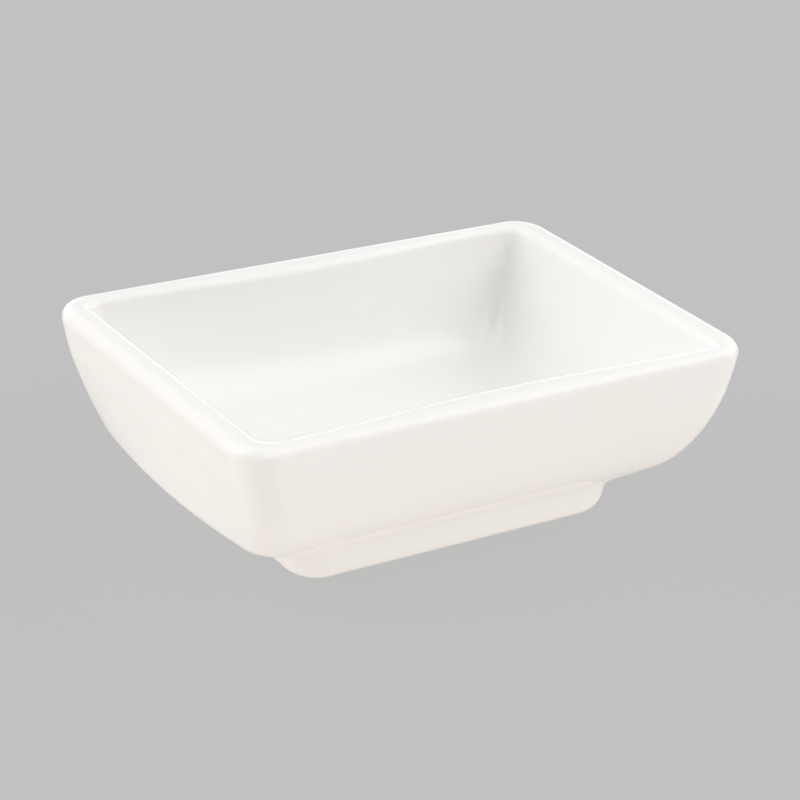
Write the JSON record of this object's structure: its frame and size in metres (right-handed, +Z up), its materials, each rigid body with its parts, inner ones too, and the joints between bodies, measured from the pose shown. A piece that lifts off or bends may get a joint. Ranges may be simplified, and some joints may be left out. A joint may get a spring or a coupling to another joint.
{
  "type": "rectangular soy sauce dish",
  "caption": "Small rectangular glazed porcelain dish for soy sauce, with leaning walls, a broad rounded rim and a low rectangular foot with a recess under it.",
  "frame": {"origin": "middle of the foot's underside, on the table", "axes": "+X along the length of the dish, +Y across it, +Z up out of the basin"},
  "size_m": [0.09, 0.06, 0.03],
  "materials": {
    "glazed_porcelain": "glossy clear glaze over warm white porcelain, bare on the rim that stands on the table"
  },
  "bodies": {
    "root": {"dish": "glazed_porcelain"}
  },
  "joints": []
}
